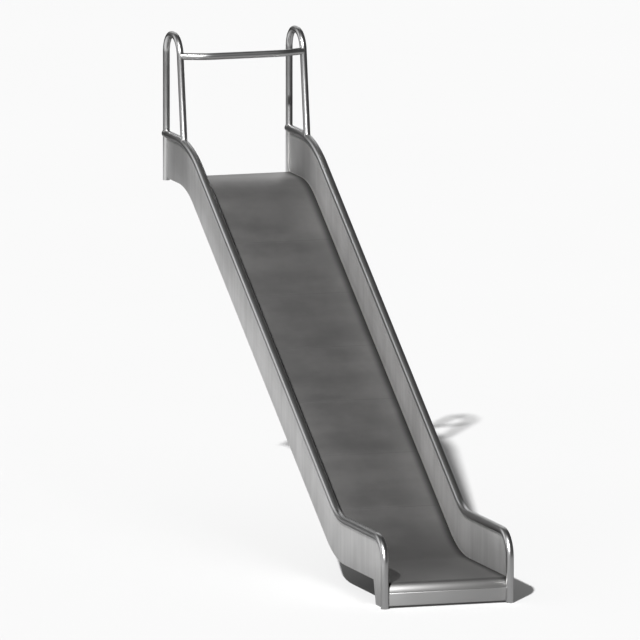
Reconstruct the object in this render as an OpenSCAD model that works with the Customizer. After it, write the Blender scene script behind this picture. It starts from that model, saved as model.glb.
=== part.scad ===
// Straight playground slide for fixing to a platform, in stainless sheet and tube.
// X is across the slide, the exit faces -Y, the platform end is at +Y, Z is up.
// The origin is on the ground, at the middle of the slide's length and width.

/* [Slide] */
// Height of the platform that the slide is fixed to
platform_h = 1600; // [1400:10:1800]
// Height of the sliding surface above the ground at the exit
exit_h = 120; // [110:5:200]
// Level run between the corners of the slope, seen from the side
slope_run = 2383; // [2200:1:2800]
// From the axis of the front legs to the lower corner of the slope
exit_run = 777; // [740:1:1000]
// From the upper corner of the slope to the axis of the rear posts
entry_run = 328; // [320:1:450]
// Distance between the axes of the two handrails
rail_spacing = 630; // [560:2:700]

/* [Bends] */
// Radius of the hollow bend at the foot of the slope, on the sliding surface
lower_bend_r = 540; // [450:5:560]
// Radius of the crown bend at the top of the slope, on the sliding surface
upper_bend_r = 450; // [350:5:500]
// Radius of the rounded nose at the exit
nose_r = 45; // [35:1:60]
// Radius at which the handrail turns down into the front leg, on its axis
leg_bend_r = 120; // [90:1:150]

/* [Tubes] */
// Outer diameter of the handrails and front legs
rail_d = 38; // [34:0.1:45]
// Outer diameter of the grab loops, crossbar and rear posts
loop_d = 33.7; // [27:0.1:33.7]
// Wall of every tube
tube_wall = 2.5; // [1.5:0.1:3]
// Height of the handrail's axis above the sliding surface, square to it
rail_h = 214; // [190:1:230]

/* [Sheets] */
// Thickness of the bed, cheek and apron sheets
sheet_t = 3; // [2:0.5:4]
// How far the rear posts reach below the sliding surface
post_drop = 15; // [5:1:60]
// Length of each cheek's foot along the ground, from the leg's axis
foot_len = 137; // [100:1:160]
// Length of each cheek's foot where it leaves the cheek, from the leg's axis
foot_top_len = 172; // [140:1:200]
// Gap between the ground and the bottom edge of the apron
apron_gap = 10; // [5:1:20]

/* [Grab loops] */
// Height of the top of the loops' axis above the platform
loop_h = 716; // [650:1:800]
// Radius of the rear shoulder of each loop
loop_rear_r = 100; // [60:1:110]
// Radius of the front shoulder of each loop
loop_front_r = 100; // [60:1:110]
// Slant of each loop's front leg from upright, in degrees
loop_slant = 8.25; // [5:0.25:10]
// From a loop's rear leg forward to its front leg at crossbar height
loop_depth = 228; // [215:1:260]
// Height of the crossbar's axis above the platform
crossbar_h = 626; // [600:1:640]
// How far the crossbar's middle is bowed forward of its ends
crossbar_bow = 46; // [20:1:60]
// Length across the slide of each slanted end of the crossbar
crossbar_end = 120; // [100:1:150]

/* [Ribs and fixings] */
// Number of stiffening ribs under the slope
rib_count = 6; // [6:1:6]
// Distance along the slope from its lower corner to the first rib
rib_first = 360; // [300:1:400]
// Distance from one rib to the next, along the slope
rib_pitch = 400; // [350:1:420]
// Diameter of the two fixing holes in the deck angle
deck_hole_d = 11; // [9:0.5:14]
// Distance between the two fixing holes
deck_hole_spacing = 300; // [200:10:320]

/* [Hidden] */
// Steps in a full turn of a tube's wall, and of the crown bend, which is much larger
tube_fn = 64;
crown_fn = 360;
$fn = tube_fn;

// Slope of the bed, and the tangent of half of it for offset corners
slope_deg = atan((platform_h - exit_h) / slope_run);
half_tan = tan(slope_deg / 2);

// Side plane: distance behind the front-leg axis, then height
lower_corner = [exit_run, exit_h];
upper_corner = [exit_run + slope_run, platform_h];
post_s = exit_run + slope_run + entry_run;
rail_r = rail_d / 2;
loop_r = loop_d / 2;
bed_rear_s = post_s - loop_r;
rail_end_s = post_s + loop_r;

// The leg axis lies this far in front of the origin, so that the slide is centred on it
leg_y = -(rail_end_s - rail_r) / 2;

side_x = rail_spacing / 2;
bed_half_w = side_x - sheet_t / 2;
leg_gap = 1.5;
apron_half_w = side_x - rail_r - leg_gap;
rail_z_exit = exit_h + rail_h;
rail_z_entry = platform_h + rail_h;
cheek_h = rail_h - rail_r;

// Apron: its upper fold meets the inner corner of the nose's lower edge
apron_fold_r = 8;
apron_hem_r = 5;
apron_hem_len = 15;
apron_flange_len = 50;
fold_inset = sqrt(pow(apron_fold_r, 2) - pow(apron_fold_r - sheet_t, 2));
apron_top_z = exit_h - nose_r - fold_inset + apron_fold_r;

// Ribs: channels that open upward against the bed
rib_w = 50;
rib_depth = 25;
rib_t = 2.5;
rib_half_len = 250;
exit_rib_s = 420;

// Deck angle under the rear edge of the bed
angle_leg = 45;
angle_t = 4;
angle_bend_r = 6;
angle_half_len = 180;
deck_hole_drop = 27;

plug_t = 4;
crossbar_bend_r = 200;
// The crossbar's tube stops this far short of each loop's axis, inside its shaped end
crossbar_trim = 6;

// Between a straight and a bend of a tube the wall is this much thinner, over this length
bend_mark_depth = 0.2;
bend_mark_len = 0.2;
// Steps in a round stretch of a sheet's outline
fold_steps = 16;
// How far a shape that is cut away reaches past the sheet it cuts
cut_margin = 1;

// Axis of a loop's front leg, as its distance behind the front legs at a height
function loop_front_s(z) = post_s - loop_depth + (z - platform_h - crossbar_h) * tan(loop_slant);

// A corner of the side profile, moved by d square to the sliding surface
function offset_corner(p, d) = [p.x - d * half_tan, p.y + d];

rail_corners = [
    [rail_end_s, rail_z_entry],
    offset_corner(upper_corner, rail_h),
    offset_corner(lower_corner, rail_h),
    [0, rail_z_exit],
    [0, 0],
];
rail_bends = [upper_bend_r + rail_h, lower_bend_r - rail_h, leg_bend_r];

nose_end_z = exit_h - nose_r;
under_z = platform_h - sheet_t;
under_exit_z = exit_h - sheet_t;

loop_top_z = platform_h + loop_h;
// The slanted front leg is cut from this far below the handrail's axis
loop_front_sink = 6;
loop_foot_z = rail_z_entry - loop_front_sink;
loop_corners = [
    [post_s, rail_z_entry],
    [post_s, loop_top_z],
    [loop_front_s(loop_top_z), loop_top_z],
    [loop_front_s(loop_foot_z), loop_foot_z],
];

steel = [0.62, 0.62, 0.62];
bright_steel = [0.76, 0.76, 0.76];
bed_steel = [0.42, 0.42, 0.41];

RIBS = [for (i = [1:rib_count]) str("cross_rib_", i)];
SIDES = ["left", "right"];

// ---- helpers ----

function heading(a, b) = atan2(b.y - a.y, b.x - a.x);

// Turn at corner b, positive to the left, from -180 to 180 degrees
function turn(a, b, c) = let (t = heading(b, c) - heading(a, b)) t > 180 ? t - 360 : t < -180 ? t + 360 : t;

// The points of one corner: the corner itself, or an arc of radius r that touches both its sides
function corner_points(a, b, c, r) =
    r == 0 ? [b] :
    let (
        t = turn(a, b, c),
        side = sign(t),
        h = heading(a, b),
        start = b - r * tan(abs(t) / 2) * [cos(h), sin(h)],
        centre = start + side * r * [-sin(h), cos(h)]
    )
    [for (k = [0:fold_steps]) let (w = h + t * k / fold_steps) centre + side * r * [sin(w), -cos(w)]];

// A closed outline whose corners are rounded, each with its own radius
function rounded(p, r) = [
    for (i = [0:len(p) - 1])
        each corner_points(p[(i + len(p) - 1) % len(p)], p[i], p[(i + 1) % len(p)], r[i])
];

// Length that the bend at corner i takes from the straights beside it
function bend_tangent(p, r, i) =
    i == 0 || i == len(p) - 1 ? 0 : r[i - 1] * tan(abs(turn(p[i - 1], p[i], p[i + 1])) / 2);

// Bends a tube of outer diameter d along corners p with bend radii r, in the XY plane
module bent_tube(p, r, d) {
    for (i = [0:len(p) - 2]) {
        skip = bend_tangent(p, r, i);
        run = norm(p[i + 1] - p[i]) - skip - bend_tangent(p, r, i + 1);
        from = i > 0 ? bend_mark_len : 0;
        to = i < len(p) - 2 ? run - bend_mark_len : run;
        translate(p[i])
            rotate(heading(p[i], p[i + 1]))
                translate([skip, 0, 0]) {
                    straight_tube(from, to, d, tube_wall);
                    if (i > 0)
                        bend_mark(from / 2, d);
                    if (i < len(p) - 2) {
                        bend_mark(to + bend_mark_len / 2, d);
                        translate([run, 0, 0])
                            tube_bend(r[i], turn(p[i], p[i + 1], p[i + 2]), d);
                    }
                }
    }
}

module tube_section(d, wall) {
    difference() {
        circle(d = d);
        circle(d = d - 2 * wall);
    }
}

// Tube along X from one distance to another
module straight_tube(from, to, d, wall) {
    translate([from, 0, 0])
        rotate([90, 0, 90])
            linear_extrude(to - from)
                tube_section(d, wall);
}

// Faint ring that a bending tool leaves where a bend starts or ends
module bend_mark(at, d) {
    straight_tube(at - bend_mark_len, at + bend_mark_len, d - 2 * bend_mark_depth,
                  tube_wall - 2 * bend_mark_depth);
}

// One bend that starts at the origin along +X and turns by a, to the left if a is positive
module tube_bend(r, a, d) {
    translate([0, sign(a) * r, 0])
        rotate(a > 0 ? -90 : 90 + a)
            rotate_extrude(angle = abs(a))
                translate([r, 0])
                    tube_section(d, tube_wall);
}

// Stands a shape drawn in the side plane up in the slide, at x across it
module side_plane(x) {
    translate([x, leg_y, 0])
        rotate([90, 0, 90])
            children();
}

// Across the slide: -1 is the left side as the user faces up the slope, 1 the right
module at_side(side) {
    side_plane(side * side_x)
        children();
}

// Folded sheet: an outline in the side plane, carried across to half_w each way
module across(half_w, p, r) {
    translate([0, 0, -half_w])
        linear_extrude(2 * half_w)
            polygon(rounded(p, r));
}

// Solid shape of a handrail's level rear end and crown bend, used to shape what meets them
module handrail_top() {
    crown = [upper_corner.x + upper_bend_r * half_tan, platform_h - upper_bend_r];
    translate([crown.x, rail_z_entry, 0])
        rotate([0, 90, 0])
            cylinder(d = rail_d, h = entry_run + rail_d);
    translate(crown)
        rotate(90)
            rotate_extrude(angle = slope_deg, $fn = crown_fn)
                translate([upper_bend_r + rail_h, 0])
                    circle(d = rail_d, $fn = tube_fn);
}

// Solid rod along a loop's front leg, used to shape the crossbar's ends
module loop_front_rod() {
    translate([loop_front_s(platform_h), platform_h, 0])
        rotate([-90, 0, -loop_slant])
            cylinder(d = loop_d, h = loop_h);
}

// ---- sub-parts ----

module bed_sheet() {
    top = [[0, nose_end_z], [0, exit_h], lower_corner, upper_corner, [bed_rear_s, platform_h]];
    under = [
        [bed_rear_s, under_z],
        offset_corner(upper_corner, -sheet_t), offset_corner(lower_corner, -sheet_t),
        [sheet_t, under_exit_z], [sheet_t, nose_end_z],
    ];
    color(bed_steel)
        difference() {
            side_plane(0)
                across(bed_half_w, concat(top, under), [
                    0, nose_r, lower_bend_r, upper_bend_r, 0,
                    0, upper_bend_r - sheet_t, lower_bend_r + sheet_t, nose_r - sheet_t, 0,
                ]);
            for (side = [-1, 1])
                translate([side * side_x, leg_y, 0])
                    cylinder(r = rail_r + leg_gap, h = rail_z_exit);
        }
}

module front_apron() {
    outer = [[apron_hem_len, apron_gap], [0, apron_gap], [0, apron_top_z], [apron_flange_len, apron_top_z]];
    inner = [
        [apron_flange_len, apron_top_z - sheet_t], [sheet_t, apron_top_z - sheet_t],
        [sheet_t, apron_gap + sheet_t], [apron_hem_len, apron_gap + sheet_t],
    ];
    color(steel)
        side_plane(0)
            across(apron_half_w, concat(outer, inner), [
                0, apron_hem_r, apron_fold_r, 0,
                0, apron_fold_r - sheet_t, apron_hem_r - sheet_t, 0,
            ]);
}

module nose_stiffener() {
    color(steel)
        translate([-apron_half_w, leg_y + nose_r, apron_top_z])
            cube([2 * apron_half_w, sheet_t, under_exit_z - apron_top_z]);
}

// Side sheet from the rear post to the front leg, with its foot behind the leg
module cheek(side) {
    low = [
        [rail_r, 0], [foot_len, 0], [foot_top_len, under_exit_z],
        offset_corner(lower_corner, -sheet_t), offset_corner(upper_corner, -sheet_t), [bed_rear_s, under_z],
    ];
    high = [
        [bed_rear_s, platform_h + cheek_h],
        offset_corner(upper_corner, cheek_h), offset_corner(lower_corner, cheek_h),
        [rail_r, exit_h + cheek_h],
    ];
    color(steel)
        at_side(side)
            across(sheet_t / 2, concat(low, high), [
                0, 0, 0, lower_bend_r + sheet_t, upper_bend_r - sheet_t, 0,
                0, upper_bend_r + cheek_h, lower_bend_r - cheek_h, leg_bend_r - rail_r,
            ]);
}

module handrail(side) {
    color(bright_steel)
        at_side(side)
            bent_tube(rail_corners, rail_bends, rail_d);
}

// Short post under the handrail's rear end, shaped at its top to the handrail
module rear_post(side) {
    color(bright_steel)
        difference() {
            translate([side * side_x, leg_y + post_s, platform_h - post_drop])
                linear_extrude(rail_h + post_drop)
                    tube_section(loop_d, tube_wall);
            at_side(side)
                handrail_top();
        }
}

// Bent tube that stands on the handrail, shaped at both feet to it
module grab_loop(side) {
    color(bright_steel)
        at_side(side)
            difference() {
                bent_tube(loop_corners, [loop_rear_r, loop_front_r], loop_d);
                handrail_top();
            }
}

module crossbar() {
    corner_x = side_x - crossbar_end;
    end_x = side_x - crossbar_trim;
    end_s = -crossbar_bow * crossbar_trim / crossbar_end;
    color(bright_steel)
        difference() {
            translate([0, leg_y + loop_front_s(platform_h + crossbar_h), platform_h + crossbar_h])
                bent_tube(
                    [[-end_x, end_s], [-corner_x, -crossbar_bow], [corner_x, -crossbar_bow], [end_x, end_s]],
                    [crossbar_bend_r, crossbar_bend_r], loop_d
                );
            for (side = [-1, 1])
                at_side(side)
                    loop_front_rod();
        }
}

// Channel across the slide, open towards the sheet above it
module rib_channel() {
    difference() {
        translate([-rib_w / 2, -rib_depth, -rib_half_len])
            cube([rib_w, rib_depth, 2 * rib_half_len]);
        translate([-rib_w / 2 + rib_t, -rib_depth + rib_t, -rib_half_len - cut_margin])
            cube([rib_w - 2 * rib_t, rib_depth, 2 * (rib_half_len + cut_margin)]);
    }
}

module cross_rib(i) {
    along = rib_first + (i - 1) * rib_pitch;
    color(steel)
        side_plane(0)
            translate(lower_corner)
                rotate(slope_deg)
                    translate([along, -sheet_t, 0])
                        rib_channel();
}

module exit_rib() {
    color(steel)
        side_plane(0)
            translate([exit_rib_s, under_exit_z, 0])
                rib_channel();
}

// Angle under the bed's rear edge, with the holes that fix the slide to the platform
module deck_angle() {
    outer = [[bed_rear_s - angle_leg, under_z], [bed_rear_s, under_z], [bed_rear_s, under_z - angle_leg]];
    inner = [
        [bed_rear_s - angle_t, under_z - angle_leg], [bed_rear_s - angle_t, under_z - angle_t],
        [bed_rear_s - angle_leg, under_z - angle_t],
    ];
    color(steel)
        difference() {
            side_plane(0)
                across(angle_half_len, concat(outer, inner), [0, angle_bend_r, 0, 0, angle_bend_r - angle_t, 0]);
            for (side = [-1, 1])
                translate([
                    side * deck_hole_spacing / 2,
                    leg_y + bed_rear_s + cut_margin,
                    under_z - deck_hole_drop,
                ])
                    rotate([90, 0, 0])
                        cylinder(d = deck_hole_d, h = angle_t + 2 * cut_margin);
        }
}

// Disc that closes the end of a tube of outer diameter d
module plug(d) {
    cylinder(d = d - 2 * tube_wall, h = plug_t);
}

module rail_plug(side) {
    color(steel)
        translate([side * side_x, leg_y + rail_end_s, rail_z_entry])
            rotate([90, 0, 0])
                plug(rail_d);
}

module post_plug(side) {
    color(steel)
        translate([side * side_x, leg_y + post_s, platform_h - post_drop])
            plug(loop_d);
}

module foot_plug(side) {
    color(steel)
        translate([side * side_x, leg_y, 0])
            plug(rail_d);
}

bed_sheet();
front_apron();
nose_stiffener();
crossbar();
exit_rib();
deck_angle();
for (i = [1:rib_count])
    cross_rib(i);
for (k = [0, 1]) {
    side = 2 * k - 1;
    cheek(side);
    handrail(side);
    rear_post(side);
    grab_loop(side);
    rail_plug(side);
    post_plug(side);
    foot_plug(side);
}
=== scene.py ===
import math

import bmesh
import bpy
from mathutils import Matrix, Vector
from mathutils.geometry import intersect_point_line


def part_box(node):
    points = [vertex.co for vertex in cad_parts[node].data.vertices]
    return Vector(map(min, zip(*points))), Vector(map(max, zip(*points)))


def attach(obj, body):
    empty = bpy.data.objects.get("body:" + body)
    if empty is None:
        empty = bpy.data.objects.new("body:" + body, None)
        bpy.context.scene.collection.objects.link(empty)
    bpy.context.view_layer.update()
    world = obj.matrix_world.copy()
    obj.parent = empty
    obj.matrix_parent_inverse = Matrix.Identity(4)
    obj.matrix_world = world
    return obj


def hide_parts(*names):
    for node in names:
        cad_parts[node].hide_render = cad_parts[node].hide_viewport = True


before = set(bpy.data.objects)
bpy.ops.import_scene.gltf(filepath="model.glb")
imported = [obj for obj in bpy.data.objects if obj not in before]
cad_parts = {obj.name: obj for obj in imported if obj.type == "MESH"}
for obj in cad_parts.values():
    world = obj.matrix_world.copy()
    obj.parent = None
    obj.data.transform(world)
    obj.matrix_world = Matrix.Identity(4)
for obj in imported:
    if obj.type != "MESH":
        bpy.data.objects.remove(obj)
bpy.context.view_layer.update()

# ---- sizes, in metres, from the frame where it holds them ----

rail_low, rail_high = [Vector(c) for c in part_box("left_handrail")]
loop_low, loop_high = [Vector(c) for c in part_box("left_grab_loop")]
bed_low, bed_high = [Vector(c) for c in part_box("bed_sheet")]
bar_low, bar_high = [Vector(c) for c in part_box("crossbar")]
rib_low, rib_high = [Vector(c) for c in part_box("exit_rib")]
apron_low, apron_high = [Vector(c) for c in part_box("front_apron")]

SLOPE_RUN = 2.383
EXIT_RUN = 0.777
LOWER_BEND_R = 0.540
UPPER_BEND_R = 0.450
NOSE_R = 0.045
LEG_BEND_R = 0.120
SHEET = 0.003
TUBE_WALL = 0.0025
FOOT_LEN = 0.137
FOOT_TOP_LEN = 0.172
APRON_GAP = 0.010
APRON_HEM_LEN = 0.015
APRON_HEM_R = 0.005
APRON_FOLD_R = 0.008
POST_DROP = 0.015
LEG_GAP = 0.0015
LOOP_REAR_R = 0.100
LOOP_FRONT_R = 0.100
LOOP_DEPTH = 0.228
LOOP_SLANT = math.radians(8.25)
LOOP_SINK = 0.006
CROSSBAR_BOW = 0.046
CROSSBAR_END = 0.120
CROSSBAR_BEND_R = 0.200
RIB_FIRST = 0.360
RIB_PITCH = 0.400
RIB_WIDTH = 0.050
RIB_DEPTH = 0.025
RIB_WALL = 0.0025
RIB_FOLD_R = 0.004
EXIT_RIB_S = 0.420
PLUG_GAP = 0.0001

# How round the edges of cut tube, cut sheet, folded sheet and turned discs are
TUBE_EDGE = 0.0004
CHEEK_EDGE = 0.0004
FOLDED_EDGE = 0.0005
PLUG_EDGE = 0.0008

# The leg of a fillet between two tubes, and its rings: how far each flares from the tube and how
# far it stands off the other one, as shares of the leg
WELD = 0.0018
WELD_RINGS = ((0.3, 0.3), (0.7, -0.1))
# The beads along sheets: radius, how far they stand off the bed and the rail, and how far they
# lie from the middle of a cheek
BEAD_R = 0.002
BED_BEAD_LIFT = 0.0006
RAIL_BEAD_SINK = 0.0004
RAIL_BEAD_OUT = 0.0022
RAIL_BEAD_END_Z = 0.002

TUBE_SIDES = 48
BEAD_SIDES = 10
BEND_STEP = math.radians(3)
LINE_STEP = math.radians(1)

SIDES = ((-1, "left"), (1, "right"))

# ---- finishes: greys from the darkest to the lightest ----

BED_GREYS = (0.185, 0.235)
# Painted shade: the bed's grey towards the exit
BED_EXIT_SHADE = 0.135
# Painted shade: the bed's grey along its seams by the cheeks
BED_SEAM_SHADE = 0.030
# Painted highlight: the bed's grey on the nose
BED_NOSE_HIGHLIGHT = 0.46
SHEET_GREYS = (0.66, 0.76)
# Painted shade: the side sheets' greys at the entry and near the ground
SHEET_SHADED_GREYS = (0.43, 0.51)
TUBE_GREY = 0.72
TUBE_RIM_GREY = 0.25
PLUG_GREY = 0.60
WELD_GREYS = (0.50, 0.66)
MILL_GREYS = (0.34, 0.46)
FLOOR_GREYS = (0.575, 0.583)

# ---- floor, light and camera ----

FLOOR_REACH = 60.0
FLOOR_DROP = 0.0005
# How bright the floor's painted glow looks in the steel: far off, near by, and in a painted pool of light
# that lies to the left.
# FLOOR_FADE is where near becomes far, FLOOR_POOL where the pool begins and is full.
FLOOR_FAR = 0.03
FLOOR_NEAR = 0.34
FLOOR_FADE = (5.5, 10.5)
FLOOR_POOL = (-0.6, -2.4)
FLOOR_POOL_LEVEL = 0.50
# Turns are round the slide from its exit, positive towards its right side
KEY_STRENGTH = 6.5
KEY_SOFTNESS = math.radians(1.7)
KEY_TURN = math.radians(-36)
KEY_RISE = math.radians(40.6)
# The room's level to the camera, to matt surfaces, and as a base for what the steel reflects
ROOM_SEEN = 0.955
ROOM_AMBIENT = 0.30
ROOM_BASE = 0.03
# From a rise to a higher one, how much the reflected level changes
ROOM_LEVELS = [(-0.1, 0.1, 0.02), (0.2, 0.8, -0.03)]
# A panel's turn and rise, the angles at which it is full and gone, and its level
ROOM_PANELS = [
    ((math.radians(-90), math.radians(0)), math.radians(10), math.radians(50), 0.30),
    ((math.radians(-128), math.radians(22)), math.radians(8), math.radians(29), 0.80),
    ((math.radians(165), math.radians(22)), math.radians(10), math.radians(27), 1.35),
]
CAMERA_LENS = 1700.0
CAMERA_DISTANCE = 144.829
CAMERA_TURN = math.radians(-17.714)
CAMERA_RISE = math.radians(8.680)
CAMERA_AIM = Vector((-0.5166, -1.3546, 1.3522))

# ---- places that follow from the sizes ----

rail_r = (rail_high.x - rail_low.x) / 2
loop_r = (loop_high.x - loop_low.x) / 2
side_x = -(rail_high.x + rail_low.x) / 2
leg_y = rail_low.y + rail_r
rear_y = rail_high.y
post_y = loop_high.y - loop_r
platform_z = bed_high.z
rail_z = rail_high.z - rail_r
rail_h = rail_z - platform_z
loop_top_z = loop_high.z - loop_r
exit_z = bed_low.z + NOSE_R
rail_exit_z = exit_z + rail_h
bar_z = (bar_low.z + bar_high.z) / 2
slope = math.atan2(platform_z - exit_z, SLOPE_RUN)
half_tan = math.tan(slope / 2)
ribs = [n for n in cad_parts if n.startswith("cross_rib_")]


def place(s, z, x=0.0):
    """A point of the side plane: s behind the front legs' axis, z above the ground."""
    return Vector((x, leg_y + s, z))


def offset(corner, d):
    """A corner of the side profile moved by d square to the sliding surface."""
    return corner + Vector((0, -d * half_tan, d))


def at_x(points, x):
    return [Vector((x, p.y, p.z)) for p in points]


lower_corner = place(EXIT_RUN, exit_z)
upper_corner = place(EXIT_RUN + SLOPE_RUN, platform_z)
along_slope = Vector((0, math.cos(slope), math.sin(slope)))
off_slope = Vector((0, -math.sin(slope), math.cos(slope)))

rail_path = [
    place(rear_y - leg_y, rail_z),
    offset(upper_corner, rail_h),
    offset(lower_corner, rail_h),
    place(0, rail_exit_z),
    place(0, 0),
]
rail_bends = [UPPER_BEND_R + rail_h, LOWER_BEND_R - rail_h, LEG_BEND_R]


def loop_front(z):
    """The axis of a grab loop's slanted front leg at height z."""
    return Vector((0, post_y - LOOP_DEPTH + (z - bar_z) * math.tan(LOOP_SLANT), z))


loop_path = [
    Vector((0, post_y, rail_z)),
    Vector((0, post_y, loop_top_z)),
    loop_front(loop_top_z),
    loop_front(rail_z - LOOP_SINK),
]

# ---- meshes ----


def carry(bm, section, corners, bends, step=BEND_STEP):
    """Carries a section along straights and round bends. Returns the section at the path's end."""
    taken = 0.0
    for i in range(1, len(corners)):
        way = (corners[i] - corners[i - 1]).normalized()
        tangent, turn = 0.0, 0.0
        if i < len(corners) - 1:
            next_way = (corners[i + 1] - corners[i]).normalized()
            turn = way.angle(next_way)
            tangent = bends[i - 1] * math.tan(turn / 2)
        run = (corners[i] - corners[i - 1]).length - taken - tangent
        if run > 1e-6:
            section = bmesh.ops.spin(
                bm, geom=section, cent=(0, 0, 0), axis=(1, 0, 0), dvec=way * run, angle=0, steps=1
            )["geom_last"]
        if tangent > 0:
            axis = way.cross(next_way).normalized()
            centre = corners[i] - way * tangent + axis.cross(way) * bends[i - 1]
            section = bmesh.ops.spin(
                bm, geom=section, cent=centre, axis=axis, dvec=(0, 0, 0), angle=turn,
                steps=max(3, math.ceil(turn / step)),
            )["geom_last"]
        taken = tangent
    return section


def centreline(corners, bends):
    """The path's own points, with its bends as short steps."""
    bm = bmesh.new()
    carry(bm, [bm.verts.new(corners[0])], corners, bends, LINE_STEP)
    points = [v.co.copy() for v in bm.verts]
    bm.free()
    return points


def distance(point, line):
    """From a point to the nearest place on a line of short steps."""
    best = math.inf
    for a, b in zip(line, line[1:]):
        near, share = intersect_point_line(point, a, b)
        near = a if share < 0 else b if share > 1 else near
        best = min(best, (point - near).length)
    return best


def fit_ring(ring, heading, line, radius):
    """Slides each vertex of a tube's end along the tube until it is radius away from a centreline."""
    for v in ring:
        low, high = -4 * radius, 0.0
        for _ in range(24):
            middle = (low + high) / 2
            if distance(v.co + heading * middle, line) > radius:
                low = middle
            else:
                high = middle
        v.co += heading * high


def only(kind, geom):
    return [g for g in geom if isinstance(g, kind)]


def weld_end(bm, ring, axis_point, heading, line, radius):
    """Shapes a tube's end to another tube and lays a hollow fillet weld round the joint."""
    fit_ring(only(bmesh.types.BMVert, ring), heading, line, radius + WELD)
    across = heading.cross(line[-1] - line[0]).normalized()
    for flare, gap in WELD_RINGS:
        grown = bmesh.ops.extrude_edge_only(bm, edges=only(bmesh.types.BMEdge, ring))["geom"]
        for f in only(bmesh.types.BMFace, grown):
            f.material_index = 1
        verts = only(bmesh.types.BMVert, grown)
        ring = verts + only(bmesh.types.BMEdge, grown)
        for v in verts:
            out = v.co - axis_point
            out -= heading * out.dot(heading)
            wider = out + out.normalized() * (flare * WELD)
            widest = (radius + gap * WELD) * 0.99
            over = max(abs(wider.dot(across)) - widest, 0.0)
            wider -= across * math.copysign(over, wider.dot(across))
            v.co += wider - out + heading * (2 * WELD)
            v.co.y = min(v.co.y, rear_y)
        fit_ring(verts, heading, line, radius + gap * WELD)


def shade(bm, limit=math.radians(32)):
    for f in bm.faces:
        f.smooth = True
    for e in bm.edges:
        e.smooth = len(e.link_faces) == 2 and e.calc_face_angle(0) < limit


def piece(name, bm, materials, slot_name, *nodes):
    """Makes the finished object and ties it to the slide's one body."""
    shade(bm)
    mesh = bpy.data.meshes.new(name)
    bm.to_mesh(mesh)
    bm.free()
    for m in materials:
        mesh.materials.append(m)
    made = bpy.data.objects.new(name, mesh)
    bpy.context.scene.collection.objects.link(made)
    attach(made, "root")
    if nodes:
        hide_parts(*nodes)


def soften(bm, width, limit=math.radians(50)):
    """Rounds every edge sharper than the limit."""
    sharp = [e for e in bm.edges if len(e.link_faces) == 2 and e.calc_face_angle(0) > limit]
    bmesh.ops.bevel(bm, geom=sharp, offset=width, segments=2, profile=0.5, affect="EDGES", material=-1)


def square_to(way, point):
    """Lays a flat shape at a point, square to a direction."""
    return Matrix.Translation(point) @ way.to_track_quat("Z", "Y").to_matrix().to_4x4()


def start_ring(bm, corners, radius, sides):
    """A circle round the start of a path."""
    way = (corners[1] - corners[0]).normalized()
    verts = bmesh.ops.create_circle(
        bm, segments=sides, radius=radius, matrix=square_to(way, corners[0])
    )["verts"]
    return verts + bm.edges[:]


def turn_outwards(bm, corners):
    """Turns the faces of an open tube away from its axis."""
    bmesh.ops.recalc_face_normals(bm, faces=bm.faces[:])
    middle = (corners[0] + corners[1]) / 2
    nearest = min(bm.faces, key=lambda f: (f.calc_center_median() - middle).length)
    if nearest.normal.dot(nearest.calc_center_median() - middle) < 0:
        bmesh.ops.reverse_faces(bm, faces=bm.faces[:])


def tube(corners, bends, radius, first=None, last=None):
    """A hollow tube along a path. first and last are the centreline and radius that an end is welded to."""
    bm = bmesh.new()
    start = start_ring(bm, corners, radius, TUBE_SIDES)
    end = carry(bm, start, corners, bends)
    if first:
        weld_end(bm, start, corners[0], (corners[0] - corners[1]).normalized(), *first)
    if last:
        weld_end(bm, end, corners[-1], (corners[-1] - corners[-2]).normalized(), *last)
    turn_outwards(bm, corners)
    bmesh.ops.solidify(bm, geom=bm.faces[:], thickness=TUBE_WALL)
    bmesh.ops.recalc_face_normals(bm, faces=bm.faces[:])
    soften(bm, TUBE_EDGE)
    return bm


def bead(corners, bends):
    """A round weld bead along a path."""
    bm = bmesh.new()
    carry(bm, start_ring(bm, corners, BEAD_R, BEAD_SIDES), corners, bends)
    bmesh.ops.holes_fill(bm, edges=bm.edges[:], sides=BEAD_SIDES)
    bmesh.ops.recalc_face_normals(bm, faces=bm.faces[:])
    return bm


def joined(*meshes):
    """One mesh of several."""
    whole = bmesh.new()
    for bm in meshes:
        mesh = bpy.data.meshes.new("part of a piece")
        bm.to_mesh(mesh)
        bm.free()
        whole.from_mesh(mesh)
        bpy.data.meshes.remove(mesh)
    return whole


def folded_sheet(corners, bends, half_w, thickness, trim=None):
    """A sheet folded about lines across the slide. trim gives its half width at a point."""
    bm = bmesh.new()
    ends = [bm.verts.new((x, corners[0].y, corners[0].z)) for x in (-half_w, half_w)]
    carry(bm, ends + [bm.edges.new(ends)], corners, bends)
    if trim:
        for v in bm.verts:
            v.co.x = math.copysign(trim(v.co), v.co.x)
    bmesh.ops.solidify(bm, geom=bm.faces[:], thickness=thickness)
    bmesh.ops.recalc_face_normals(bm, faces=bm.faces[:])
    soften(bm, FOLDED_EDGE)
    return bm


def thicken(bm, faces, way, edge):
    """Makes a solid of flat faces and rounds its edges."""
    grown = bmesh.ops.extrude_face_region(bm, geom=faces)["geom"]
    bmesh.ops.translate(bm, verts=only(bmesh.types.BMVert, grown), vec=way)
    bmesh.ops.recalc_face_normals(bm, faces=bm.faces[:])
    soften(bm, edge)


# ---- materials ----


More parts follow.
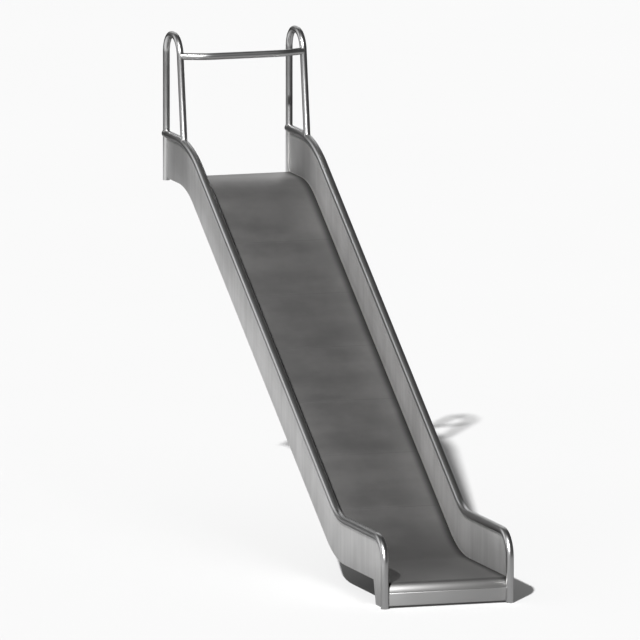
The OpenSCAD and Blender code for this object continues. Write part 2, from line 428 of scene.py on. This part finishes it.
class Value:
    """A number on its way through a material. Arithmetic on it adds Math nodes."""

    def __init__(self, recipe, socket):
        self.recipe = recipe
        self.socket = socket

    def maths(self, operation, *others):
        inputs = dict(enumerate([self, *others]))
        return self.recipe.node("ShaderNodeMath", {"operation": operation}, inputs)

    def reversed_maths(self, operation, other):
        return self.recipe.node("ShaderNodeMath", {"operation": operation}, {0: other, 1: self})

    def __add__(self, other):
        return self.maths("ADD", other)

    __radd__ = __add__

    def __sub__(self, other):
        return self.maths("SUBTRACT", other)

    def __rsub__(self, other):
        return self.reversed_maths("SUBTRACT", other)

    def __mul__(self, other):
        return self.maths("MULTIPLY", other)

    __rmul__ = __mul__

    def __truediv__(self, other):
        return self.maths("DIVIDE", other)

    def __rtruediv__(self, other):
        return self.reversed_maths("DIVIDE", other)

    def __abs__(self):
        return self.maths("ABSOLUTE")


class Recipe:
    """A tree of nodes, and the steps that finishes and the room are made from."""

    def __init__(self, tree):
        self.tree = tree

    def node(self, kind, settings=None, inputs=None, output=0):
        """Adds a node: its settings first, then the values or links of its sockets."""
        made = self.tree.nodes.new(kind)
        for key, value in (settings or {}).items():
            setattr(made, key, value)
        for key, value in (inputs or {}).items():
            if isinstance(value, Value):
                self.tree.links.new(value.socket, made.inputs[key])
            else:
                made.inputs[key].default_value = value
        return Value(self, made.outputs[output] if made.outputs else None)

    def place(self):
        """The point's x, y and z on the object."""
        where = self.node("ShaderNodeTexCoord", output="Object")
        return [self.node("ShaderNodeSeparateXYZ", inputs={0: where}, output=i) for i in range(3)]

    def point(self, x, y, z):
        return self.node("ShaderNodeCombineXYZ", inputs={0: x, 1: y, 2: z})

    def noise(self, vector, scale, detail=2.0, roughness=0.5):
        inputs = {"Vector": vector, "Scale": scale, "Detail": detail, "Roughness": roughness}
        return self.node("ShaderNodeTexNoise", inputs=inputs)

    def spread(self, value, low, high, to_low=0.0, to_high=1.0):
        """Carries a value from one range to another and holds it at the ends."""
        inputs = {0: value, 1: low, 2: high, 3: to_low, 4: to_high}
        return self.node("ShaderNodeMapRange", {"interpolation_type": "SMOOTHSTEP"}, inputs)

    def blend(self, share, one, other):
        """Goes from one colour to the other as share goes from 0 to 1."""
        inputs = {0: share, 6: one, 7: other}
        return self.node("ShaderNodeMix", {"data_type": "RGBA"}, inputs, output=2)

    def ray(self, kind):
        """1 for rays of one kind and 0 for the rest."""
        return self.node("ShaderNodeLightPath", output=kind)


class Finish(Recipe):
    """A material with its surface shader."""

    def __init__(self, name, **constants):
        self.material = bpy.data.materials.new(name)
        self.material.use_nodes = True
        super().__init__(self.material.node_tree)
        self.shader = self.tree.nodes["Principled BSDF"]
        for socket, value in constants.items():
            self.shader.inputs[socket.replace("_", " ")].default_value = value

    def feed(self, socket, value):
        self.tree.links.new(value.socket, self.shader.inputs[socket])

    def bump(self, height, strength, depth):
        inputs = {"Height": height, "Strength": strength, "Distance": depth}
        self.feed("Normal", self.node("ShaderNodeBump", inputs=inputs))

    def greys(self, share, levels, warmth=0.0, lighter_warmth=None):
        """Between a dark and a light grey, as share goes from 0 to 1."""
        lighter_warmth = warmth if lighter_warmth is None else lighter_warmth
        return self.blend(share, grey(levels[0], warmth), grey(levels[1], lighter_warmth))


def grey(value, warmth=0.0):
    return (value * (1 + warmth), value, value * (1 - warmth), 1.0)


def bed_finish():
    """Satin sheet, brushed across the slide, with smudges and faint lines where the ribs are welded.

    It has painted shade, darker at the exit and along its seams by the cheeks, and a painted highlight,
    lighter on the nose.
    """
    r = Finish("satin bed sheet", Metallic=1.0)
    x, y, z = r.place()
    along = y * math.cos(slope) + z * math.sin(slope)
    cloud = r.noise(r.point(x, along * 0.8, 0.0), 3.2, 4.0, 0.6)
    wipe = r.noise(r.point(x * 0.9, along * 3.0, 7.0), 2.6, 3.0, 0.55)
    brush = r.noise(r.point(x * 6.0, along * 900.0, z * 40.0), 1.0, 3.0, 0.6)
    start = lower_corner.y * math.cos(slope) + lower_corner.z * math.sin(slope)
    from_first = (along - (start + RIB_FIRST)) / RIB_PITCH
    to_rib = abs((from_first + 0.5).maths("FRACT") - 0.5) * RIB_PITCH
    over_ribs = r.spread(abs(from_first - (len(ribs) - 1) / 2), len(ribs) / 2, len(ribs) / 2 - 0.1)
    line = r.spread(to_rib, 0.0045, 0.0005) * over_ribs
    bright = r.spread(cloud * 0.6 + wipe * 0.4, 0.34, 0.66)
    steel = r.greys(bright - line * 0.35, BED_GREYS, 0.010, 0.014)
    # Painted shade: darker towards the exit, standing in for a dimmer reflection there
    exit_shade = 0.7 * r.spread(y, lower_corner.y + 0.25, lower_corner.y - 0.15)
    steel = r.blend(exit_shade, steel, grey(BED_EXIT_SHADE, 0.012))
    # Painted shade: darker within 50 mm of each cheek, in the corner between the bed and its sides
    seam = 0.85 * r.spread(abs(x), bed_high.x - 0.050, bed_high.x - 0.003)
    steel = r.blend(seam, steel, grey(BED_SEAM_SHADE, 0.02))
    # Painted highlight: lighter, and a little smoother, on the nose
    nose_highlight = r.spread(z, exit_z - 0.004, exit_z - 0.030) * r.spread(y, leg_y + 0.06, leg_y + 0.04)
    r.feed("Base Color", r.blend(nose_highlight, steel, grey(BED_NOSE_HIGHLIGHT, 0.008)))
    r.feed("Roughness", 0.52 + 0.06 * wipe + 0.06 * brush + 0.05 * line - 0.10 * nose_highlight)
    r.bump(brush * 0.3 + line * 0.5, 0.35, 0.0004)
    return r.material


def cheek_finish():
    """Brushed sheet, its grain upright, with soft streaks, and painted shade that makes it darker at the
    entry and near the ground.
    """
    r = Finish("brushed side sheet", Metallic=0.95)
    x, y, z = r.place()
    streak = r.noise(r.point(y * 34.0, z * 1.6, x), 1.0, 4.0, 0.6)
    broad = r.noise(r.point(y * 7.0, z * 2.4, x * 2.0), 1.0, 3.0, 0.5)
    brush = r.noise(r.point(y * 1100.0, z * 22.0, x), 1.0, 2.0, 0.6)
    tone = r.spread(streak * 0.5 + broad * 0.5, 0.34, 0.66)
    # Painted shade: darker at the entry, at the top of the slope
    entry_shade = r.spread(y, upper_corner.y - 0.20, upper_corner.y + 0.15)
    # Painted shade: darker near the ground
    ground_shade = 0.8 * r.spread(z, 0.200, 0.015)
    steel = r.greys(tone, SHEET_GREYS, 0.004)
    shaded_steel = r.greys(tone, SHEET_SHADED_GREYS, 0.004)
    r.feed("Base Color", r.blend(entry_shade + ground_shade, steel, shaded_steel))
    r.feed("Roughness", 0.42 + 0.08 * broad + 0.05 * brush)
    r.bump(brush, 0.2, 0.0003)
    return r.material


def tube_finish(name, value):
    """Ground and polished tube, with the fine marks of the belt and darker rims."""
    r = Finish(name, Metallic=1.0, Specular_Tint=grey(TUBE_RIM_GREY))
    x, y, z = r.place()
    cloud = r.noise(r.point(x, y, z), 14.0, 3.0, 0.5)
    belt = r.noise(r.point(x * 30.0, y * 30.0, z * 420.0), 1.0, 2.0, 0.5)
    r.feed("Base Color", r.greys(cloud, (value * 0.92, value)))
    r.feed("Roughness", 0.27 + 0.05 * cloud + 0.03 * belt)
    r.bump(belt, 0.04, 0.0002)
    return r.material


def weld_finish():
    """Ground weld metal, with the ripple that is left of the bead."""
    r = Finish("ground weld", Metallic=1.0)
    x, y, z = r.place()
    ripple = r.noise(r.point(x * 260.0, y * 260.0, z * 260.0), 1.0, 2.0, 0.5)
    r.feed("Base Color", r.greys(ripple, WELD_GREYS, 0.02, 0.01))
    r.feed("Roughness", 0.26 + 0.18 * ripple)
    r.bump(ripple, 0.4, 0.0006)
    return r.material


def mill_finish():
    """Sheet as it comes from the mill, with a dull cast and drawing lines."""
    r = Finish("mill finish", Metallic=1.0)
    x, y, z = r.place()
    cloud = r.noise(r.point(x, y, z), 9.0, 4.0, 0.6)
    drawn = r.noise(r.point(x * 4.0, y * 380.0, z * 380.0), 1.0, 2.0, 0.5)
    r.feed("Base Color", r.greys(cloud, MILL_GREYS, 0.01))
    r.feed("Roughness", 0.38 + 0.14 * cloud + 0.06 * drawn)
    r.bump(drawn, 0.2, 0.0003)
    return r.material


def floor_finish():
    """Matt pale floor. In the steel it is a painted glow, dim as a floor that falls away, lighter near by
    and in a pool to the left.
    """
    r = Finish("pale floor", Metallic=0.0, Specular_IOR_Level=0.0, Roughness=1.0)
    x, y, z = r.place()
    cloud = r.noise(r.point(x, y, z), 0.4, 2.0, 0.5)
    r.feed("Base Color", r.greys(cloud, FLOOR_GREYS))
    near = r.spread((x * x + y * y).maths("SQRT"), *FLOOR_FADE, 1.0, 0.0)
    level = FLOOR_FAR + near * (FLOOR_NEAR + r.spread(x, *FLOOR_POOL, 0.0, FLOOR_POOL_LEVEL))
    # Painted reflection: what the steel sees of the floor is this glow, not the lit floor
    glossy_glow = r.node("ShaderNodeEmission", inputs={"Color": level, "Strength": 1.0})
    matt = Value(r, r.shader.outputs[0])
    mixed = r.node("ShaderNodeMixShader", inputs={0: r.ray("Is Glossy Ray"), 1: matt, 2: glossy_glow})
    r.tree.links.new(mixed.socket, r.tree.nodes["Material Output"].inputs[0])
    return r.material


bed_steel = bed_finish()
cheek_steel = cheek_finish()
tube_steel = tube_finish("polished tube", TUBE_GREY)
plug_steel = tube_finish("turned plug", PLUG_GREY)
weld_metal = weld_finish()
mill_steel = mill_finish()

# ---- pieces ----


def bed_half_width(point):
    """The bed's half width at a point, less near the front legs, which it goes round."""
    s = point.y - leg_y
    clear = rail_r + LEG_GAP
    round_leg = side_x - math.sqrt(max(clear**2 - s**2, 0.0))
    return min(bed_high.x, round_leg)


def sliding_surface(lift=0.0, start=0.0):
    """The bed's path from the exit to the rear, lifted square to the surface."""
    return [
        place(start, exit_z + lift),
        offset(lower_corner, lift),
        offset(upper_corner, lift),
        Vector((0, bed_high.y, platform_z + lift)),
    ]


def slope_bends(lift=0.0):
    return [LOWER_BEND_R - lift, UPPER_BEND_R + lift]


def make_bed():
    path = [place(0, bed_low.z), *sliding_surface()]
    sheet = folded_sheet(path, [NOSE_R, *slope_bends()], bed_high.x, SHEET, bed_half_width)
    piece("bed", sheet, [bed_steel], "bed_satin", "bed_sheet")
    for side, label in SIDES:
        run = at_x(sliding_surface(BED_BEAD_LIFT, NOSE_R), side * (bed_high.x - BED_BEAD_LIFT))
        seam = bead(run, slope_bends(BED_BEAD_LIFT))
        piece(label + "_bed_weld", seam, [weld_metal], "sheet_brushed")


def make_apron():
    path = [
        place(APRON_HEM_LEN, APRON_GAP),
        place(0, APRON_GAP),
        Vector((0, apron_low.y, apron_high.z)),
        Vector((0, apron_high.y, apron_high.z)),
    ]
    sheet = folded_sheet(path, [APRON_HEM_R, APRON_FOLD_R], apron_high.x, SHEET)
    piece("apron", sheet, [cheek_steel], "sheet_brushed", "front_apron")


def make_cheek(side, label):
    """A side sheet that fills the space between the bed's lower face and the handrail."""
    top = rail_h - rail_r
    low = [
        place(rail_r, 0),
        place(FOOT_LEN, 0),
        place(FOOT_TOP_LEN, exit_z - SHEET),
        offset(lower_corner, -SHEET),
        offset(upper_corner, -SHEET),
        Vector((0, bed_high.y, platform_z - SHEET)),
    ]
    high = [
        Vector((0, bed_high.y, platform_z + top)),
        offset(upper_corner, top),
        offset(lower_corner, top),
        place(rail_r, exit_z + top),
    ]
    bends = [0, 0, LOWER_BEND_R + SHEET, UPPER_BEND_R - SHEET, 0]
    bends += [0, UPPER_BEND_R + top, LOWER_BEND_R - top, LEG_BEND_R - rail_r]
    outline = at_x([*low, *high, low[0]], side * side_x - SHEET / 2)
    bm = bmesh.new()
    carry(bm, [bm.verts.new(outline[0])], outline, bends)
    bmesh.ops.remove_doubles(bm, verts=bm.verts[:], dist=1e-6)
    face = bmesh.ops.contextual_create(bm, geom=bm.edges[:])["faces"]
    thicken(bm, face, Vector((SHEET, 0, 0)), CHEEK_EDGE)
    piece(label + "_cheek_sheet", bm, [cheek_steel], "sheet_brushed", label + "_cheek")


def make_rail_weld(side, label):
    """The two beads that hold a cheek to its handrail, one on each face of the sheet."""
    lift = rail_h - rail_r + RAIL_BEAD_SINK
    front = place(rail_r - RAIL_BEAD_SINK, exit_z + lift)
    run = [
        Vector((0, bed_high.y, platform_z + lift)),
        offset(upper_corner, lift),
        offset(lower_corner, lift),
        front,
        Vector((0, front.y, RAIL_BEAD_END_Z)),
    ]
    bends = [UPPER_BEND_R + lift, LOWER_BEND_R - lift, LEG_BEND_R - rail_r + RAIL_BEAD_SINK]
    beads = [bead(at_x(run, side * side_x + out * RAIL_BEAD_OUT), bends) for out in (-1, 1)]
    piece(label + "_rail_weld", joined(*beads), [weld_metal], "sheet_brushed")


def make_tubes(side, label):
    """The handrail that becomes the front leg, the grab loop that stands on it and the rear post."""
    x = side * side_x
    finishes = [tube_steel, weld_metal]
    rail_line = centreline(at_x(rail_path[:3], x), rail_bends[:1])
    rail = tube(at_x(rail_path, x), rail_bends, rail_r)
    piece(label + "_rail", rail, finishes, "tube_bright", label + "_handrail")
    loop = tube(
        at_x(loop_path, x), [LOOP_REAR_R, LOOP_FRONT_R], loop_r,
        first=(rail_line, rail_r), last=(rail_line, rail_r),
    )
    piece(label + "_loop", loop, finishes, "tube_bright", label + "_grab_loop")
    path = at_x([Vector((0, post_y, platform_z - POST_DROP)), Vector((0, post_y, rail_z))], x)
    post = tube(path, [], loop_r, last=(rail_line, rail_r))
    piece(label + "_post", post, finishes, "tube_bright", label + "_rear_post")


def make_crossbar():
    """The bowed tube between the loops' front legs."""
    end = loop_front(bar_z)
    path = [
        end + Vector((-side_x, 0, 0)),
        end + Vector((-(side_x - CROSSBAR_END), -CROSSBAR_BOW, 0)),
        end + Vector((side_x - CROSSBAR_END, -CROSSBAR_BOW, 0)),
        end + Vector((side_x, 0, 0)),
    ]
    leg = [loop_front(rail_z), loop_front(loop_top_z)]
    bar = tube(
        path, [CROSSBAR_BEND_R, CROSSBAR_BEND_R], loop_r,
        first=(at_x(leg, -side_x), loop_r), last=(at_x(leg, side_x), loop_r),
    )
    piece("cross_bar", bar, [tube_steel, weld_metal], "tube_bright", "crossbar")


def make_rib(name, middle, along, up):
    """A folded channel under the bed, open towards it."""
    reach = along * (RIB_WIDTH / 2)
    depth = up * RIB_DEPTH
    path = [middle + reach, middle + reach - depth, middle - reach - depth, middle - reach]
    sheet = folded_sheet(path, [RIB_FOLD_R, RIB_FOLD_R], rib_high.x, RIB_WALL)
    piece(name + "_channel", sheet, [mill_steel], "hidden_steel", name)


def make_plug(name, tube_r, heading):
    """A turned disc that closes a tube's end, a hair inside its bore."""
    low, high = [Vector(c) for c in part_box(name)]
    middle = (low + high) / 2
    through = heading * (high - low).dot(heading)
    bm = bmesh.new()
    bmesh.ops.create_circle(
        bm, cap_ends=True, segments=TUBE_SIDES, radius=tube_r - TUBE_WALL - PLUG_GAP,
        matrix=square_to(heading, middle - through / 2),
    )
    thicken(bm, bm.faces[:], through, PLUG_EDGE)
    piece(name + "_disc", bm, [plug_steel], "tube_bright", name)


make_bed()
make_apron()
make_crossbar()
for side, label in SIDES:
    make_cheek(side, label)
    make_rail_weld(side, label)
    make_tubes(side, label)
    make_plug(label + "_rail_plug", rail_r, Vector((0, 1, 0)))
    make_plug(label + "_foot_plug", rail_r, Vector((0, 0, 1)))
    make_plug(label + "_post_plug", loop_r, Vector((0, 0, 1)))
for i, name in enumerate(sorted(ribs)):
    middle = lower_corner + along_slope * (RIB_FIRST + i * RIB_PITCH) - off_slope * SHEET
    make_rib(name, middle, along_slope, off_slope)
make_rib("exit_rib", place(EXIT_RIB_S, exit_z - SHEET), Vector((0, 1, 0)), Vector((0, 0, 1)))
for name in ("deck_angle", "nose_stiffener"):
    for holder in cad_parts[name].material_slots:
        holder.material = mill_steel

# ---- floor, light and camera ----


def heading_of(turn, rise):
    """The direction from the slide to something at a turn and a rise."""
    flat = Vector((math.sin(turn), -math.cos(turn), 0)) * math.cos(rise)
    return flat + Vector((0, 0, math.sin(rise)))


def stand(name, data, towards):
    """Puts a lamp or the camera in the scene, with its back towards a direction."""
    made = bpy.data.objects.new(name, data)
    bpy.context.scene.collection.objects.link(made)
    made.rotation_mode = "QUATERNION"
    made.rotation_quaternion = towards.to_track_quat("Z", "Y")
    return made


def make_floor():
    bm = bmesh.new()
    bmesh.ops.create_grid(bm, x_segments=4, y_segments=4, size=FLOOR_REACH)
    mesh = bpy.data.meshes.new("floor")
    bm.to_mesh(mesh)
    bm.free()
    mesh.materials.append(floor_finish())
    floor = bpy.data.objects.new("floor", mesh)
    bpy.context.scene.collection.objects.link(floor)
    floor.location.z = -FLOOR_DROP


def make_key():
    """A large soft lamp, far off to the front and left."""
    lamp = bpy.data.lights.new("key", "SUN")
    lamp.energy = KEY_STRENGTH
    lamp.angle = KEY_SOFTNESS
    stand("key", lamp, heading_of(KEY_TURN, KEY_RISE))


def make_room():
    """A studio that the steel reflects as dim, with soft panels low on the left and behind."""
    world = bpy.data.worlds.new("studio")
    bpy.context.scene.world = world
    world.use_nodes = True
    r = Recipe(world.node_tree)
    r.tree.nodes.clear()
    heading = r.node("ShaderNodeTexCoord", output="Generated")
    rise = r.node("ShaderNodeSeparateXYZ", inputs={0: heading}, output=2)
    level = ROOM_BASE
    for low, high, change in ROOM_LEVELS:
        level = level + change * r.spread(rise, low, high)
    for middle, inner, outer, change in ROOM_PANELS:
        facing = r.node(
            "ShaderNodeVectorMath", {"operation": "DOT_PRODUCT"},
            {0: heading, 1: heading_of(*middle)}, output="Value",
        )
        level = level + change * r.spread(facing, math.cos(outer), math.cos(inner))
    seen = r.ray("Is Camera Ray")
    matt = r.ray("Is Diffuse Ray")
    shown = level * (1 - seen) * (1 - matt) + seen * ROOM_SEEN + matt * ROOM_AMBIENT
    shader = r.node("ShaderNodeBackground", inputs={0: shown})
    r.node("ShaderNodeOutputWorld", inputs={0: shader})


def make_camera():
    lens = bpy.data.cameras.new("camera")
    lens.lens = CAMERA_LENS
    lens.clip_start = 1.0
    lens.clip_end = 4 * CAMERA_DISTANCE
    back = heading_of(CAMERA_TURN, CAMERA_RISE)
    camera = stand("camera", lens, back)
    camera.location = CAMERA_AIM + back * CAMERA_DISTANCE
    bpy.context.scene.camera = camera


make_floor()
make_key()
make_room()
make_camera()
bpy.context.scene.view_settings.view_transform = "Standard"
